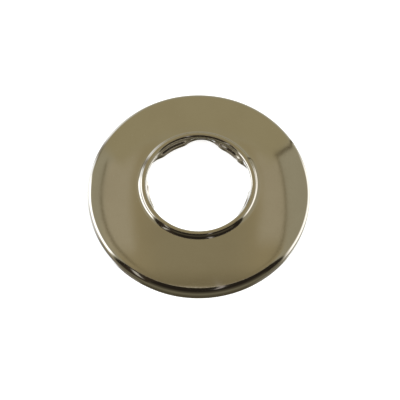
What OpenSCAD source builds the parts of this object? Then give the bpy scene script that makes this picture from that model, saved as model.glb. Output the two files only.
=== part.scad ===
// Pipe rosette: a round cover plate pressed from one sheet of plated steel.
// It slides along a pipe and hides the hole where the pipe enters the wall.
// Origin at the centre of the back, where the rim meets the wall. +Z is the pipe's axis, towards the room.
// Sizes are in millimetres, tilts in degrees away from +Z.

/* [Pipe] */
// Outside diameter of the pipe that the collar grips
pipe_d = 31.75; // [25:0.25:38]
// Radial gap between the pipe and the crimps before they spring onto it
grip_gap = 0.125; // [0.05:0.025:0.2]

/* [Sheet] */
// Thickness of the sheet
sheet_t = 0.6; // [0.4:0.05:0.8]

/* [Rim and face] */
// Outside diameter of the rim
outer_d = 73; // [68:1:90]
// Height of the rim's straight wall
rim_wall_h = 2; // [1:0.25:4]
// Outside radius of the rounded edge from the rim's wall to the face
rim_round_r = 2.6; // [1.5:0.1:4]
// Tilt of the face where it leaves the rounded edge
face_tilt = 18; // [15:0.5:20]
// Radius of the face's shallow dome
dome_r = 88; // [80:1:110]

/* [Lip] */
// Height of the lip's crest above the wall
height = 9.2; // [8.8:0.1:10.5]
// Outside radius of the rolled lip
lip_round_r = 1; // [0.9:0.05:1.3]
// Outside radius of the concave flare from the lip to the face
flare_r = 1.8; // [1.2:0.1:2.4]
// Length of the lip's straight skirt, where the collar starts
lip_skirt_h = 0.2; // [0.1:0.05:0.4]

/* [Crimped collar] */
// Number of crimps that grip the pipe
crimps = 5; // [4:1:7]
// Angle from +X of the first crimp's middle
crimp_phase = 49; // [0:1:72]
// Angle over which each crimp lies against the pipe
crimp_arc = 22; // [18:1:26]
// How far the crimps stand in from the lip's throat
crimp_in = 0.85; // [0.5:0.05:1]
// How far the wall bulges out from the throat between the crimps
bulge_out = 0.95; // [0.4:0.05:1.1]
// Inside radius of the bend from each crimp into the bulges beside it
shoulder_r = 5.4; // [4:0.1:7]
// Inside radius of the bends that lead from the lip's skirt down into the crimps and bulges
crimp_bend_r = 0.5; // [0.4:0.05:0.7]
// Depth of the collar's free edge below the lip's crest
collar_depth = 4; // [3.5:0.1:5]

/* [Hidden] */
$fn = 120;

// Neighbouring bends overlap by this much, so that they join into one sheet
weld = 0.005;
// The collar's wall starts inside the lip's skirt, this far from both of its faces
seat_inset = 0.02;
// The bulges' bends run this far past the throat and past the bulge, so that they cross both cleanly
overrun = 0.1;
// Slack by which a cutting shape runs past what it cuts
past = 2;

outer_r = outer_d / 2;
grip_r = pipe_d / 2 + grip_gap;
throat_r = grip_r + crimp_in;
valley_r = throat_r + bulge_out;
edge_z = height - collar_depth;
// The collar's wall, and its inside radius where it starts in the skirt
collar_t = sheet_t - 2 * seat_inset;
seat_r = throat_r + seat_inset;

// Centres of the plate's bends, as [radius, height]. Each bend's sheet is tangent to the next one's.
round_c = [outer_r - rim_round_r, rim_wall_h];
face_c = round_c - (dome_r - rim_round_r) * along(face_tilt);
lip_c = [throat_r + lip_round_r, height - lip_round_r];
flare_c = meet(face_c, dome_r + flare_r, lip_c, lip_round_r + flare_r);
// Tilt at which the flare meets the face
root_tilt = tilt_of(flare_c - face_c);
// Heights where the bends into the crimps and into the bulges start
crimp_top = lip_c.y - lip_skirt_h;
bulge_top = lip_c.y + lip_skirt_h;

// Unit vector at a tilt, as [radius, height]
function along(tilt) = [sin(tilt), cos(tilt)];
function tilt_of(v) = atan2(v.x, v.y);

// The point at distance ra from a and rb from b, on the outer side of the line from a to b
function meet(a, ra, b, rb) =
    let(
        d = norm(b - a),
        u = (b - a) / d,
        run = (ra * ra - rb * rb + d * d) / (2 * d),
        rise = sqrt(ra * ra - run * run)
    )
    a + run * u + rise * [u.y, -u.x];

// Section of everything under the plate's sheet, at a depth below its outside
module under_sheet(depth) {
    inner = throat_r + depth;
    // Rim, and the round edge above it
    translate([inner, -past])
        square([outer_r - depth - inner, rim_wall_h + past]);
    translate(round_c)
        circle(rim_round_r - depth);
    // Domed face, between the flare and the round edge
    intersection() {
        translate(face_c)
            circle(dome_r - depth - weld);
        polygon([
            [lip_c.x, 0],
            face_c + (dome_r + past) * along(root_tilt),
            face_c + (dome_r + past) * along(face_tilt),
            face_c + (dome_r - rim_round_r) * along(face_tilt),
            [round_c.x, 0]
        ]);
    }
    // Lip's roll and skirt
    translate(lip_c)
        circle(lip_round_r - depth);
    translate([inner, 0])
        square([lip_c.x - inner, lip_c.y]);
    // Flare, hollowed out between the lip and the face
    difference() {
        polygon([lip_c, flare_c, flare_c - (flare_r + past) * along(root_tilt), [lip_c.x, 0]]);
        translate(flare_c)
            circle(flare_r + depth + 2 * weld);
    }
}

// Section of the pressed plate, from the rim's foot over the face to the end of the lip's skirt
module plate_section() {
    difference() {
        under_sheet(0);
        under_sheet(sheet_t);
        translate([0, -2 * past])
            square([outer_r + past, 2 * past]);
        square([lip_c.x, crimp_top]);
    }
}

// Plan of the space inside the collar's free edge, at a depth into its wall.
// It's round where the crimps are, and bulges between them.
module edge_plan(depth) {
    half_gap = (360 / crimps - crimp_arc) / 2;
    // Each shoulder's centre, and the bulge circle that is tangent to both shoulders
    turn_r = shoulder_r + collar_t;
    reach = grip_r + turn_r;
    swing = valley_r + turn_r;
    bulge_c = (swing * swing - reach * reach) / (2 * (swing - reach * cos(half_gap)));
    bulge_r = valley_r - bulge_c;
    shoulder = reach * [cos(half_gap), sin(half_gap)];
    circle(grip_r + depth);
    for (i = [0 : crimps - 1])
        rotate(crimp_phase + 360 * (i + 0.5) / crimps) {
            translate([bulge_c, 0])
                circle(bulge_r + depth);
            difference() {
                polygon([[0, 0], [shoulder.x, -shoulder.y], [bulge_c, 0], shoulder]);
                for (side = [-1, 1])
                    translate([shoulder.x, side * shoulder.y])
                        circle(turn_r - depth + weld);
            }
        }
}

// Section of the space inside a wall that bends from radius a down to radius b, starting at height top.
// It runs from height z_from to z_to, at a depth into the wall.
module bent_space(a, b, top, z_from, z_to, depth) {
    inside_r = crimp_bend_r + depth;
    outside_r = crimp_bend_r + collar_t - depth;
    // Angle of both bends, and the height that they take together
    swing = acos(1 - abs(a - b) / (inside_r + outside_r));
    bottom = top - (inside_r + outside_r) * sin(swing);
    // A wall that bends in has its hollow bend above its full one, and one that bends out below it
    bends_in = a > b;
    full_c = bends_in ? [a - crimp_bend_r, top] : [b - crimp_bend_r, bottom];
    hollow_c = bends_in
        ? [b + crimp_bend_r + collar_t, bottom]
        : [a + crimp_bend_r + collar_t, top];
    intersection() {
        union() {
            translate(full_c)
                circle(inside_r);
            difference() {
                polygon([[0, bottom], [0, top], bends_in ? full_c : hollow_c, bends_in ? hollow_c : full_c]);
                translate(hollow_c)
                    circle(outside_r + weld);
            }
            // Straight wall beyond the full bend
            translate([0, bends_in ? top : z_from])
                square([max(a, b) + depth, bends_in ? z_to - top : bottom - z_from]);
        }
        translate([0, z_from])
            square([valley_r + past, z_to - z_from]);
    }
}

// Space inside the collar from height z_from to z_to, at a depth into its wall
module collar_space(z_from, z_to, depth) {
    intersection() {
        translate([0, 0, z_from])
            linear_extrude(z_to - z_from)
                edge_plan(depth);
        rotate_extrude()
            bent_space(seat_r - overrun, valley_r + overrun, bulge_top, z_from, z_to, depth);
    }
    rotate_extrude()
        bent_space(seat_r, grip_r, crimp_top, z_from, z_to, depth);
}

// The collar below the lip: a wall of even thickness that is crimped in and bulged out in turn
module collar() {
    difference() {
        collar_space(edge_z, lip_c.y, collar_t);
        collar_space(edge_z - past, lip_c.y + past, 0);
    }
}

// The whole rosette, one sheet from the rim's foot to the collar's free edge
module rosette() {
    color([0.55, 0.5, 0.38]) {
        rotate_extrude()
            plate_section();
        collar();
    }
}

rosette();
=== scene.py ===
"""A pipe rosette, dressed as pressed and plated sheet steel, in a small light tent.

Sizes are in millimetres and turn to metres where a mesh is filled. Tilts are measured away from +Z.
The rosette's skin is one surface over two parameters: a row from the collar's free edge over the lip
and the face to the rim's foot, and a turn round the pipe's axis.
"""

import logging
import math
from dataclasses import dataclass, field
from enum import Enum
from typing import Union

import bpy
import numpy as np
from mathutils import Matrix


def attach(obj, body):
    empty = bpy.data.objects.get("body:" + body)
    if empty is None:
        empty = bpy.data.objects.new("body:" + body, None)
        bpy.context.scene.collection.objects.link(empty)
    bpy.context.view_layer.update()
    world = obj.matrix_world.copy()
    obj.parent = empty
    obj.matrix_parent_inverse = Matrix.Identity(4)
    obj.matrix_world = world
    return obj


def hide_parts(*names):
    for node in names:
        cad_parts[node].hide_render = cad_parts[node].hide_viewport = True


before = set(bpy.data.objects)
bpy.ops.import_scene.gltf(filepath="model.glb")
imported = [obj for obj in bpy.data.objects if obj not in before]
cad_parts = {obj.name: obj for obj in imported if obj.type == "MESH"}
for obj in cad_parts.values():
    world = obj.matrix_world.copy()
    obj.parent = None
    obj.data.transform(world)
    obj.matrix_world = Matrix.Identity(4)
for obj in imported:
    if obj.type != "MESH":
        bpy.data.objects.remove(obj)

LOG = logging.getLogger("rosette")
MM = 0.001

Colour = tuple[float, float, float]
Span = tuple[float, float]
Number = Union["Value", float, int]


# ---------------------------------------------------------------- shader maths


class Value:
    """A socket that holds a number. Python's operators on it add Math nodes."""

    def __init__(self, maker: "NodeMaker", socket: bpy.types.NodeSocket) -> None:
        """Wraps a socket.

        Args:
            maker: The maker that adds nodes to the socket's tree.
            socket: The output socket to wrap.
        """
        self.maker = maker
        self.socket = socket

    def maths(self, operation: str, *terms: Number) -> "Value":
        """Adds a Math node.

        Args:
            operation: The Math node's operation.
            terms: Its inputs in order, numbers or values.

        Returns:
            The node's result.
        """
        inputs = {place: plain(term) for place, term in enumerate(terms)}
        node = self.maker.add("ShaderNodeMath", {"operation": operation}, inputs)
        return Value(self.maker, node.outputs[0])

    def __add__(self, other: Number) -> "Value":
        """Sum."""
        return self.maths("ADD", self, other)

    def __radd__(self, other: Number) -> "Value":
        """Sum with the number first."""
        return self.maths("ADD", other, self)

    def __sub__(self, other: Number) -> "Value":
        """Difference."""
        return self.maths("SUBTRACT", self, other)

    def __rsub__(self, other: Number) -> "Value":
        """Difference with the number first."""
        return self.maths("SUBTRACT", other, self)

    def __mul__(self, other: Number) -> "Value":
        """Product."""
        return self.maths("MULTIPLY", self, other)

    def __rmul__(self, other: Number) -> "Value":
        """Product with the number first."""
        return self.maths("MULTIPLY", other, self)

    def __truediv__(self, other: Number) -> "Value":
        """Quotient."""
        return self.maths("DIVIDE", self, other)

    def __rtruediv__(self, other: Number) -> "Value":
        """Quotient with the number first."""
        return self.maths("DIVIDE", other, self)

    def __neg__(self) -> "Value":
        """Opposite."""
        return self.maths("MULTIPLY", self, -1.0)

    def size(self) -> "Value":
        """Absolute value."""
        return self.maths("ABSOLUTE", self)

    def least(self, other: Number) -> "Value":
        """The lesser of two."""
        return self.maths("MINIMUM", self, other)

    def most(self, other: Number) -> "Value":
        """The greater of two."""
        return self.maths("MAXIMUM", self, other)

    def rise(self, start: float, end: float) -> "Value":
        """A smooth step.

        Args:
            start: Where the step is still 0.
            end: Where it reaches 1. It may lie below start.

        Returns:
            0 before start, 1 past end, and a smooth rise between them.
        """
        falls = end < start
        low, high = (end, start) if falls else (start, end)
        node = self.maker.add(
            "ShaderNodeMapRange",
            {"interpolation_type": "SMOOTHSTEP"},
            {"Value": self.socket, "From Min": low, "From Max": high},
        )
        step = Value(self.maker, node.outputs["Result"])
        return 1.0 - step if falls else step

    def within(self, span: Span, soft: float) -> "Value":
        """A soft band.

        Args:
            span: The band's two ends, where it is half strong.
            soft: The width of each end's change.

        Returns:
            1 inside the band and 0 outside it.
        """
        low, high = span
        half = soft / 2
        return self.rise(low - half, low + half) * self.rise(high + half, high - half)


def plain(term: Number) -> Union[bpy.types.NodeSocket, float]:
    """Gives what a node's input takes: a wrapped socket, or the number itself."""
    return term.socket if isinstance(term, Value) else float(term)


class NodeMaker:
    """Adds nodes to one tree."""

    def __init__(self, tree: bpy.types.NodeTree) -> None:
        """Takes over a tree and empties it.

        Args:
            tree: The tree of a material or of the world.
        """
        self.tree = tree
        tree.nodes.clear()

    def add(self, kind: str, settings: dict, inputs: dict) -> bpy.types.Node:
        """Adds one node.

        Args:
            kind: The node's type.
            settings: Properties that are set first, by name.
            inputs: A number, colour or socket for each input, by its name or place.

        Returns:
            The new node.
        """
        node = self.tree.nodes.new(kind)
        for name, setting in settings.items():
            setattr(node, name, setting)
        for name, given in inputs.items():
            if isinstance(given, Value):
                given = given.socket
            if isinstance(given, bpy.types.NodeSocket):
                self.tree.links.new(given, node.inputs[name])
            else:
                node.inputs[name].default_value = given
        return node

    def value(self, socket: bpy.types.NodeSocket) -> Value:
        """Wraps a socket of this tree."""
        return Value(self, socket)

    def place(self) -> bpy.types.NodeSocket:
        """The point's Object coordinates, in metres."""
        return self.add("ShaderNodeTexCoord", {}, {}).outputs["Object"]

    def axes(self, vector: bpy.types.NodeSocket) -> tuple[Value, Value, Value]:
        """Splits a vector into its X, Y and Z."""
        node = self.add("ShaderNodeSeparateXYZ", {}, {"Vector": vector})
        return tuple(self.value(out) for out in node.outputs)

    def noise(self, vector: bpy.types.NodeSocket, scale: float, detail: float) -> Value:
        """Adds a noise.

        Args:
            vector: The coordinates that it reads.
            scale: Its bumps per metre.
            detail: Its octaves.

        Returns:
            A value about 0.5.
        """
        sizes = {"Vector": vector, "Scale": scale, "Detail": detail}
        return self.value(self.add("ShaderNodeTexNoise", {}, sizes).outputs["Fac"])

    def blend(self, part: Number, below: object, above: Colour) -> bpy.types.NodeSocket:
        """Lays one colour over another.

        Args:
            part: How strongly the upper colour covers, from 0 to 1.
            below: The lower colour, or the socket that gives it.
            above: The upper colour.

        Returns:
            The socket of the blended colour.
        """
        node = self.add("ShaderNodeMix", {"data_type": "RGBA"}, {0: plain(part)})
        for place, given in ((6, below), (7, above)):
            if isinstance(given, bpy.types.NodeSocket):
                self.tree.links.new(given, node.inputs[place])
            else:
                node.inputs[place].default_value = (*given, 1.0)
        return node.outputs[2]


def linear(shown: tuple[int, int, int]) -> Colour:
    """Turns a screen colour of 0 to 255 into linear light by the sRGB curve."""
    parts = (level / 255 for level in shown)
    return tuple(
        part / 12.92 if part <= 0.04045 else ((part + 0.055) / 1.055) ** 2.4
        for part in parts
    )


# ---------------------------------------------------------------- the rosette's shape


@dataclass(frozen=True)
class SheetSection:
    """The pressed plate's section, as [radius, height] in mm, with tilts in degrees."""

    outer_r: float = 36.5
    rim_wall_h: float = 2.0
    rim_round_r: float = 2.6
    face_tilt: float = 18.0
    dome_r: float = 88.0
    height: float = 9.2
    lip_round_r: float = 1.0
    flare_r: float = 1.8
    throat_r: float = 16.85
    foot_round: float = 0.14

    @staticmethod
    def along(tilt: Union[float, np.ndarray]) -> np.ndarray:
        """The unit vector at a tilt: (sine of the tilt, cosine of the tilt)."""
        turn = np.radians(tilt)
        return np.stack([np.sin(turn), np.cos(turn)], axis=-1)

    @staticmethod
    def tilt_of(vector: np.ndarray) -> float:
        """The tilt of a vector, by the arc tangent of radius over height."""
        return math.degrees(math.atan2(vector[0], vector[1]))

    def centres(self) -> dict[str, np.ndarray]:
        """Works out the bends' centres.

        The dome's centre lies on the line from the rim's bend at the face's tilt. The flare's
        centre is where a circle round the dome's centre meets one round the lip's centre, on the
        outer side, so that the flare is tangent to both.

        Returns:
            The centres of the rim's bend, the dome, the lip and the flare.
        """
        rim = np.array([self.outer_r - self.rim_round_r, self.rim_wall_h])
        dome = rim - (self.dome_r - self.rim_round_r) * self.along(self.face_tilt)
        lip = np.array([self.throat_r + self.lip_round_r, self.height - self.lip_round_r])
        far, near = self.dome_r + self.flare_r, self.lip_round_r + self.flare_r
        gap = lip - dome
        reach = float(np.hypot(*gap))
        unit = gap / reach
        run = (far**2 - near**2 + reach**2) / (2 * reach)
        rise = math.sqrt(far**2 - run**2)
        flare = dome + run * unit + rise * np.array([unit[1], -unit[0]])
        return {"rim": rim, "dome": dome, "lip": lip, "flare": flare}

    def line(self) -> tuple[np.ndarray, np.ndarray]:
        """Traces the outside from the lip's throat to the rim's foot.

        Each bend is its centre plus (or, for the hollow flare, minus) its radius times the unit
        vector at a tilt that runs evenly between the bend's two ends.

        Returns:
            The points and the outward normals, one row for each.
        """
        at = self.centres()
        neck = self.tilt_of(at["flare"] - at["lip"])
        root = self.tilt_of(at["flare"] - at["dome"])
        bends = (
            (at["lip"], self.lip_round_r, -90.0, neck, 34),
            (at["flare"], -self.flare_r, neck, root, 20),
            (at["dome"], self.dome_r, root, self.face_tilt, 16),
            (at["rim"], self.rim_round_r, self.face_tilt, 90.0, 24),
        )
        points, normals = [], []
        for centre, radius, start, end, steps in bends:
            tilts = np.linspace(start, end, steps, endpoint=radius == self.rim_round_r)
            points.append(centre + radius * self.along(tilts))
            normals.append(self.along(tilts))
        fall = np.linspace(self.rim_wall_h, self.foot_round, 5)[1:]
        points.append(np.stack([np.full_like(fall, self.outer_r), fall], axis=-1))
        normals.append(np.tile([1.0, 0.0], (len(fall), 1)))
        return np.concatenate(points), np.concatenate(normals)


@dataclass(frozen=True)
class CrimpPlan:
    """The collar's plan at its free edge: pads of the pipe's round, with bulges between them."""

    crimps: int = 5
    phase: float = 49.0
    pad_arc: float = 22.0
    grip_r: float = 16.0
    valley_r: float = 17.8
    turn_r: float = 5.96

    def radius(self, turn: np.ndarray) -> np.ndarray:
        """Gives the inside radius of the free edge.

        Measured from the middle of a bulge, the edge lies on the bulge's circle, then on the
        shoulder's circle, which bends the other way, and then on the pad. Each circle's polar
        radius is q cos(t) plus or minus the root of its radius squared less (q sin(t)) squared,
        where q is its centre's distance and t the angle from its centre's direction.

        Args:
            turn: Angles from +X, in radians.

        Returns:
            The radii in mm.
        """
        half_pitch = math.pi / self.crimps
        half_gap = half_pitch - math.radians(self.pad_arc) / 2
        pitch_turn = (turn - math.radians(self.phase)) % (2 * half_pitch)
        swing = np.abs(pitch_turn - half_pitch)
        reach = self.grip_r + self.turn_r
        far = self.valley_r + self.turn_r
        bulge_q = (far**2 - reach**2) / (2 * (far - reach * math.cos(half_gap)))
        bulge_r = self.valley_r - bulge_q
        shoulder = reach * np.array([math.cos(half_gap), math.sin(half_gap)])
        joint = np.array([bulge_q, 0.0]) + (shoulder - [bulge_q, 0.0]) * (
            bulge_r / (bulge_r + self.turn_r)
        )
        joint_turn = math.atan2(joint[1], joint[0])
        bulge = bulge_q * np.cos(swing) + np.sqrt(
            bulge_r**2 - (bulge_q * np.sin(swing)) ** 2
        )
        away = half_gap - np.minimum(swing, half_gap)
        inner = np.maximum(self.turn_r**2 - (reach * np.sin(away)) ** 2, 0.0)
        bent = reach * np.cos(away) - np.sqrt(inner)
        return np.where(
            swing < joint_turn, bulge, np.where(swing < half_gap, bent, self.grip_r)
        )


@dataclass(frozen=True)
class Rosette:
    """The whole rosette: one sheet from the collar's free edge to the rim's foot."""

    section: SheetSection = field(default_factory=SheetSection)
    plan: CrimpPlan = field(default_factory=CrimpPlan)
    sheet_t: float = 0.6
    edge_z: float = 5.2
    bend_top: float = 8.05
    bend_h: float = 1.5
    edge_round: float = 0.12
    turns: int = 400
    collar_rows: int = 30
    edge_rows: int = 5

    def front(self) -> np.ndarray:
        """Makes the side of the sheet that shows, from the collar's free edge to the foot.

        The collar's radius goes from the throat's to the plan's by half a cosine wave over the
        height of the bends, and stays at the plan's below them. Above the collar the section's
        line is carried round the axis.

        Returns:
            Points in mm, as rows, turns and XYZ.
        """
        turn = np.linspace(0.0, 2 * np.pi, self.turns, endpoint=False)
        line, _ = self.section.line()
        share = np.linspace(0.0, 1.0, self.collar_rows, endpoint=False)[:, None]
        lowest = self.edge_z + self.edge_round
        height = lowest + (line[0, 1] - lowest) * share
        part = np.clip((self.bend_top - height) / self.bend_h, 0.0, 1.0)
        wave = (1 - np.cos(np.pi * part)) / 2
        throat = self.section.throat_r
        collar_r = throat + (self.plan.radius(turn)[None, :] - throat) * wave
        radius = np.concatenate([collar_r, np.repeat(line[:, :1], self.turns, axis=1)])
        rows = np.concatenate([height[:, 0], line[:, 1]])
        return np.stack(
            [
                radius * np.cos(turn),
                radius * np.sin(turn),
                np.repeat(rows[:, None], self.turns, axis=1),
            ],
            axis=-1,
        )

    @staticmethod
    def outward(grid: np.ndarray) -> np.ndarray:
        """Gives a grid's unit normals, as the cross product of its two sets of differences.

        Args:
            grid: Points as rows, turns and XYZ, closed round the turns.

        Returns:
            Unit normals of the same form, on the sheet's outside.
        """
        down = np.gradient(grid, axis=0)
        round_ = np.roll(grid, -1, axis=1) - np.roll(grid, 1, axis=1)
        normal = np.cross(down, round_)
        return normal / np.linalg.norm(normal, axis=-1, keepdims=True)

    def edge(self, front: np.ndarray, back: np.ndarray, away: np.ndarray) -> np.ndarray:
        """Rounds one free edge of the sheet.

        Its rows run from the front to the back by half a cosine wave, and stand out by the sine
        of the same angle times the edge's rounding.

        Args:
            front: The front's last row.
            back: The back's row behind it.
            away: The direction in which the edge faces.

        Returns:
            The rows between the two.
        """
        angle = np.linspace(0.0, np.pi, self.edge_rows + 2)[1:-1, None, None]
        share = (1 - np.cos(angle)) / 2
        return front + (back - front) * share + away * np.sin(angle) * self.edge_round

    def loops(self) -> np.ndarray:
        """Joins the front, the foot, the back and the collar's edge into one closed surface.

        The back is the front moved inwards by the sheet's thickness along the normals.

        Returns:
            Points in mm, as rows, turns and XYZ, closed both ways.
        """
        front = self.front()
        back = front - self.sheet_t * self.outward(front)
        down = np.array([0.0, 0.0, -1.0])
        foot = self.edge(front[-1], back[-1], down)
        collar_edge = self.edge(back[0], front[0], down)
        keep = np.unique(np.append(np.arange(0, len(back), 2), len(back) - 1))
        return np.concatenate([front, foot, back[keep][::-1], collar_edge])

    def build(self) -> bpy.types.Object:
        """Fills the mesh and puts it into the scene in place of the plain solid.

        Returns:
            The rosette's object.
        """
        grid = self.loops() * MM
        rows, turns = grid.shape[:2]
        place = np.arange(rows * turns).reshape(rows, turns)
        after, beside = np.roll(place, -1, axis=0), np.roll(place, -1, axis=1)
        corner = np.roll(after, -1, axis=1)
        quads = np.stack([place, after, corner, beside], axis=-1).reshape(-1, 4)
        mesh = bpy.data.meshes.new("rosette_sheet")
        mesh.from_pydata(grid.reshape(-1, 3), [], quads)
        mesh.polygons.foreach_set("use_smooth", np.ones(len(quads), dtype=bool))
        mesh.update()
        piece = bpy.data.objects.new("rosette_sheet", mesh)
        bpy.context.scene.collection.objects.link(piece)
        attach(piece, "root")
        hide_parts("rosette")
        return piece


# ---------------------------------------------------------------- finish


@dataclass(frozen=True)
class PlatedSteel:
    """Warm grey plating over polished steel, with the faint unevenness of a pressed sheet."""

    colour: Colour = (0.66, 0.61, 0.53)
    tarnish: Colour = (0.58, 0.52, 0.44)
    polish: float = 0.075
    dullness: float = 0.06
    wave_height: float = 0.000012

    def make(self) -> bpy.types.Material:
        """Builds the material.

        Cloudy noise drifts the colour a little towards the tarnish and the roughness towards
        dull. A broad and a fine noise, both shallow, bump the surface.

        Returns:
            The finished material.
        """
        finish = bpy.data.materials.new("plated_steel")
        finish.use_nodes = True
        maker = NodeMaker(finish.node_tree)
        place = maker.place()
        cloud = maker.noise(place, 90.0, 3.0).rise(0.35, 0.75)
        speckle = maker.noise(place, 1400.0, 2.0).rise(0.45, 0.8)
        wave = maker.noise(place, 160.0, 1.0) + speckle * 0.06
        bump = maker.add(
            "ShaderNodeBump",
            {},
            {"Strength": 1.0, "Distance": self.wave_height, "Height": wave},
        )
        steel = maker.add(
            "ShaderNodeBsdfPrincipled",
            {},
            {
                "Base Color": maker.blend(cloud * 0.25 + speckle * 0.12, self.colour, self.tarnish),
                "Metallic": 1.0,
                "Roughness": self.polish + (cloud * 0.3 + speckle * 0.5) * self.dullness,
                "Normal": bump.outputs["Normal"],
            },
        )
        maker.add("ShaderNodeOutputMaterial", {}, {"Surface": steel.outputs["BSDF"]})
        return finish


# ---------------------------------------------------------------- light tent


class Region(Enum):
    """What a patch of the tent's inside is measured in."""

    ROUND = "azimuth and elevation, in degrees"
    CEILING = "run to the right and to the back, as shares of the ceiling's height"


@dataclass(frozen=True)
class Patch:
    """One soft-edged patch on the tent's inside.

    Azimuth is 0 at the back (+Y), positive to the right, and 180 at the camera's side.
    """

    shown: tuple[int, int, int]
    across: Span
    up: Span
    soft_across: float = 6.0
    soft_up: float = 8.0
    cover: float = 1.0
    glow: float = 1.0
    region: Region = Region.ROUND
    both_sides: bool = False
    lean: float = 0.0
    bow: float = 0.0
    middle: float = 0.0


@dataclass(frozen=True)
class LightTent:
    """The inside of the tent, as a sphere that only reflections see."""

    steel: PlatedSteel
    radius_m: float = 3.0
    steps: int = 48

    def patches(self) -> dict[str, Patch]:
        """Lists the tent's patches in the order in which they are laid over each other."""
        ceiling = Region.CEILING
        return {
            "room": Patch((34, 29, 22), (-400, 400), (-95, 95)),
            "room_low": Patch((66, 60, 46), (128, 400), (-20, 14), soft_up=24, both_sides=True),
            "ground_far": Patch((97, 91, 72), (-400, 400), (-95, -8), soft_up=16),
            # The ground straight below is painted darker: a painted shadow of the floor close to the
            # rosette, as the steel sees it.
            "ground_near_shadow": Patch((70, 64, 47), (-400, 400), (-95, -48), soft_up=44),
            "walls": Patch((139, 131, 106), (-112, 111), (-95, 78), soft_across=5),
            "ground_inside": Patch((224, 220, 207), (-30, 72), (-95, -18), 14, 44),
            "left_ground": Patch((247, 246, 241), (-84, -28), (-95, 12), 26, 26),
            "left_shade": Patch((112, 104, 90), (-112, -84), (-95, -20), 14, 22),
            "left_grey": Patch((184, 180, 172), (-94, -72), (-24, 2), 12, 12),
            "left_lamp": Patch((250, 246, 236), (-108, -56), (3, 30), 7, 15, glow=1.5),
            "right_lamp": Patch((236, 230, 219), (48, 107), (-32, 4), 12, 22, glow=1.4),
            "right_shade": Patch((110, 103, 88), (76, 118), (-95, -42), 24, 20),
            "ceiling": Patch((133, 120, 88), (-0.62, 0.6), (-0.27, 0.93), 0.06, 0.03, region=ceiling),
            "ceiling_high": Patch((126, 115, 86), (-0.3, 0.3), (-0.2, 0.3), 0.3, 0.3, region=ceiling),
            "ceiling_front": Patch((108, 97, 70), (-0.7, 0.7), (-0.30, -0.16), 0.1, 0.2, region=ceiling),
            "left_strip": Patch((147, 136, 109), (-0.72, -0.4), (0.02, 0.9), 0.12, 0.2, region=ceiling),
            "right_strip": Patch((145, 134, 107), (0.36, 0.6), (0.1, 0.9), 0.1, 0.2, region=ceiling),
            "back_wall": Patch((137, 126, 94), (-36, 34), (18, 47), 5, 12),
            "left_corner": Patch((104, 94, 70), (-47, -37), (-24, 30), 8, 14, cover=0.85),
            "left_room": Patch((46, 38, 28), (-142, -120), (-10, 62), 4, 14),
            "left_spot": Patch((172, 166, 152), (-133, -127), (13, 44), 4, 10, lean=0.35, middle=28),
            "right_streak": Patch((160, 152, 142), (155, 160), (40, 74), 5, 12, lean=-0.4, middle=58),
            "front_edge": Patch((190, 180, 155), (-0.7, 0.7), (-0.285, -0.268), 0.1, 0.012, region=ceiling),
            "right_corner_seam": Patch((78, 68, 48), (37.2, 38.8), (-52, 43), 1.4, 4, bow=-0.0031, middle=3),
        }

    def mask(self, maker: NodeMaker, patch: Patch, where: dict[str, Value]) -> Value:
        """Works out where a patch lies.

        A patch is the product of one soft band across and one up. Its band across may lean with
        the height above its middle, and bow with that height's square.

        Args:
            maker: The maker of the tent's tree. Not used.
            patch: The patch.
            where: The tent's coordinates by name.

        Returns:
            The patch's mask, times its cover.
        """
        if patch.region is Region.CEILING:
            inside = where["run"].within(patch.across, patch.soft_across)
            inside = inside * where["depth"].within(patch.up, patch.soft_up)
            return inside * where["above"] * patch.cover
        turn = where["turn"].size() if patch.both_sides else where["turn"]
        if patch.lean or patch.bow:
            over = where["climb"] - patch.middle
            turn = turn - over * patch.lean - over * over * patch.bow
        inside = turn.within(patch.across, patch.soft_across)
        return inside * where["climb"].within(patch.up, patch.soft_up) * patch.cover

    def seams(self, where: dict[str, Value]) -> Value:
        """Works out the dark seams between the ceiling and the two side walls.

        Each seam runs nearly straight to the back, at 0.605 of the ceiling's height on the right
        and 0.77 on the left, and closes in towards the front by a falling exponential of depth.

        Args:
            where: The tent's coordinates by name.

        Returns:
            1 on the seams and 0 off them.
        """
        depth, run = where["depth"], where["run"]
        right = 0.605 - 0.095 * depth.maths("POWER", math.e, (depth + 0.03) * (-1 / 0.12))
        left = 0.77 - 0.28 * depth.maths("POWER", math.e, (depth + 0.02) * (-1 / 0.28))
        near_right = (run - right).size().rise(0.022, 0.004)
        near_left = (run + left).size().rise(0.026, 0.005)
        span = depth.within((-0.12, 0.94), 0.16)
        return near_right.most(near_left) * span * where["above"]

    def make(self) -> bpy.types.Material:
        """Builds the tent's glowing material, from the direction of each point of the sphere.

        Returns:
            The finished material.
        """
        glow = bpy.data.materials.new("tent_inside")
        glow.use_nodes = True
        glow.cycles.emission_sampling = "NONE"
        maker = NodeMaker(glow.node_tree)
        unit = maker.add("ShaderNodeVectorMath", {"operation": "NORMALIZE"}, {0: maker.place()})
        right, back, height = maker.axes(unit.outputs[0])
        lifted = height.most(0.02)
        where = {
            "turn": right.maths("ARCTAN2", right, back) * (180 / math.pi),
            "climb": height.maths("ARCSINE", height) * (180 / math.pi),
            "run": right / lifted,
            "depth": back / lifted,
            "above": height.rise(0.03, 0.12),
        }
        colour: object = (0.0, 0.0, 0.0)
        for patch in self.patches().values():
            light = self.light_for(patch.shown, patch.glow)
            colour = maker.blend(self.mask(maker, patch, where), colour, light)
        seam = self.light_for((92, 81, 57), 1.0)
        colour = maker.blend(self.seams(where) * 0.8, colour, seam)
        lit = maker.add("ShaderNodeEmission", {}, {"Color": colour, "Strength": 1.0})
        maker.add("ShaderNodeOutputMaterial", {}, {"Surface": lit.outputs["Emission"]})
        return glow

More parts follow.
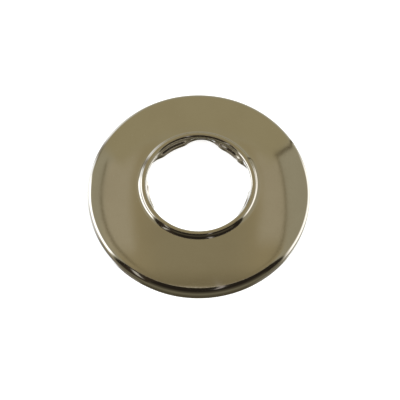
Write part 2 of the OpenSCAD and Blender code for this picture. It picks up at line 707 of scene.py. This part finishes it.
    def light_for(self, shown: tuple[int, int, int], glow: float) -> Colour:
        """Gives the light that the steel shows as a given colour.

        Args:
            shown: The screen colour that the steel should show.
            glow: A factor on the light.

        Returns:
            The colour's linear light over the steel's own colour, times the factor.
        """
        return tuple(
            glow * light / part for light, part in zip(linear(shown), self.steel.colour)
        )

    def build(self) -> bpy.types.Object:
        """Makes the sphere, from latitude and longitude on a grid with two closed poles.

        Returns:
            The tent's object, which only reflections see.
        """
        turn = np.linspace(0.0, 2 * np.pi, 2 * self.steps, endpoint=False)
        climb = np.linspace(-np.pi / 2, np.pi / 2, self.steps + 1)[1:-1]
        ring = np.stack(np.broadcast_arrays(
            np.cos(climb)[:, None] * np.cos(turn),
            np.cos(climb)[:, None] * np.sin(turn),
            np.sin(climb)[:, None] * np.ones_like(turn),
        ), axis=-1)
        count = len(turn)
        points = np.concatenate([ring.reshape(-1, 3), [[0, 0, -1.0], [0, 0, 1.0]]])
        place = np.arange(len(climb) * count).reshape(len(climb), count)
        beside = np.roll(place, -1, axis=1)
        quads = np.stack([place[:-1], place[1:], beside[1:], beside[:-1]], axis=-1)
        low, high = len(points) - 2, len(points) - 1
        caps = [
            np.stack([np.full(count, low), place[0], beside[0]], axis=-1),
            np.stack([np.full(count, high), beside[-1], place[-1]], axis=-1),
        ]
        faces = quads.reshape(-1, 4).tolist() + caps[0].tolist() + caps[1].tolist()
        mesh = bpy.data.meshes.new("light_tent")
        mesh.from_pydata(points * self.radius_m, [], faces)
        tent = bpy.data.objects.new("light_tent", mesh)
        bpy.context.scene.collection.objects.link(tent)
        mesh.materials.append(self.make())
        tent.visible_camera = False
        tent.visible_diffuse = False
        tent.visible_transmission = False
        tent.visible_shadow = False
        return tent


# ---------------------------------------------------------------- studio


@dataclass(frozen=True)
class Studio:
    """The pale floor, the soft light over it and the pale surroundings."""

    floor_m: float = 12.0
    drop_m: float = 0.00005
    glow: float = 0.62
    lamp_m: float = 1.6
    lamp_w: float = 9.0

    def floor(self) -> bpy.types.Object:
        """Lays the floor, a pale sheet that glows a little so that shadows on it stay faint.

        Returns:
            The floor's object, which reflections don't see.
        """
        half = self.floor_m / 2
        corners = np.array([[-half, -half], [half, -half], [half, half], [-half, half]])
        points = np.column_stack([corners, np.full(4, -self.drop_m)])
        mesh = bpy.data.meshes.new("floor")
        mesh.from_pydata(points, [], [(0, 1, 2, 3)])
        pale = bpy.data.materials.new("pale_floor")
        pale.use_nodes = True
        maker = NodeMaker(pale.node_tree)
        grain = maker.noise(maker.place(), 60.0, 2.0)
        shade = maker.blend(grain * 0.3, (0.9, 0.9, 0.9), (0.88, 0.88, 0.88))
        paper = maker.add(
            "ShaderNodeBsdfPrincipled",
            {},
            {
                "Base Color": shade,
                "Roughness": 0.95,
                "Specular IOR Level": 0.0,
                "Emission Color": (1.0, 1.0, 1.0, 1.0),
                "Emission Strength": self.glow,
            },
        )
        maker.add("ShaderNodeOutputMaterial", {}, {"Surface": paper.outputs["BSDF"]})
        mesh.materials.append(pale)
        ground = bpy.data.objects.new("floor", mesh)
        bpy.context.scene.collection.objects.link(ground)
        ground.visible_glossy = False
        return ground

    def lamp(self) -> bpy.types.Object:
        """Hangs one wide soft lamp over the object, which reflections don't see."""
        light = bpy.data.lights.new("soft_lamp", "AREA")
        light.shape = "DISK"
        light.size = self.lamp_m
        light.energy = self.lamp_w
        lamp = bpy.data.objects.new("soft_lamp", light)
        lamp.location = (0.0, 0.1, 1.2)
        lamp.visible_glossy = False
        bpy.context.scene.collection.objects.link(lamp)
        return lamp

    def surroundings(self) -> bpy.types.World:
        """Sets the plain pale world."""
        world = bpy.data.worlds.new("pale_world")
        world.use_nodes = True
        maker = NodeMaker(world.node_tree)
        sky = maker.add(
            "ShaderNodeBackground", {}, {"Color": (1.0, 1.0, 1.0, 1.0), "Strength": 1.0}
        )
        maker.add("ShaderNodeOutputWorld", {}, {"Surface": sky.outputs["Background"]})
        bpy.context.scene.world = world
        return world


@dataclass(frozen=True)
class PhotoCamera:
    """The camera at the photograph's angle. Pixels are those of a square image of 400."""

    distance_m: float = 0.450
    elevation: float = 63.7
    focal_px: float = 1371.0
    base_px: tuple[float, float] = (198.5, 195.2)
    image_px: float = 400.0
    sensor_mm: float = 36.0

    def build(self) -> bpy.types.Object:
        """Places the camera so that it looks at the middle of the base.

        Returns:
            The camera's object, which is made the scene's camera.
        """
        lens = bpy.data.cameras.new("photo_camera")
        lens.sensor_width = self.sensor_mm
        lens.lens = self.focal_px / self.image_px * self.sensor_mm
        middle = self.image_px / 2
        lens.shift_x = (middle - self.base_px[0]) / self.image_px
        lens.shift_y = (self.base_px[1] - middle) / self.image_px
        lens.clip_start = 0.01
        camera = bpy.data.objects.new("photo_camera", lens)
        climb = math.radians(self.elevation)
        camera.location = (
            0.0,
            -self.distance_m * math.cos(climb),
            self.distance_m * math.sin(climb),
        )
        camera.rotation_euler = (math.pi / 2 - climb, 0.0, 0.0)
        bpy.context.scene.collection.objects.link(camera)
        bpy.context.scene.camera = camera
        return camera


def main() -> None:
    """Builds the camera, the studio and the rosette in order, and reports each."""
    logging.basicConfig(level=logging.INFO, format="%(message)s")
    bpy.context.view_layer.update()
    bpy.context.scene.view_settings.view_transform = "Standard"
    camera = PhotoCamera().build()
    LOG.info("camera %s at %s", camera.name, tuple(round(c, 4) for c in camera.location))
    steel = PlatedSteel()
    studio = Studio()
    for thing in (studio.floor(), studio.lamp(), studio.surroundings()):
        LOG.info("studio: %s", thing.name)
    LOG.info("studio: %s", LightTent(steel).build().name)
    piece = Rosette().build()
    piece.data.materials.append(steel.make())
    LOG.info("%s: %d faces", piece.name, len(piece.data.polygons))


if __name__ == "__main__":
    main()
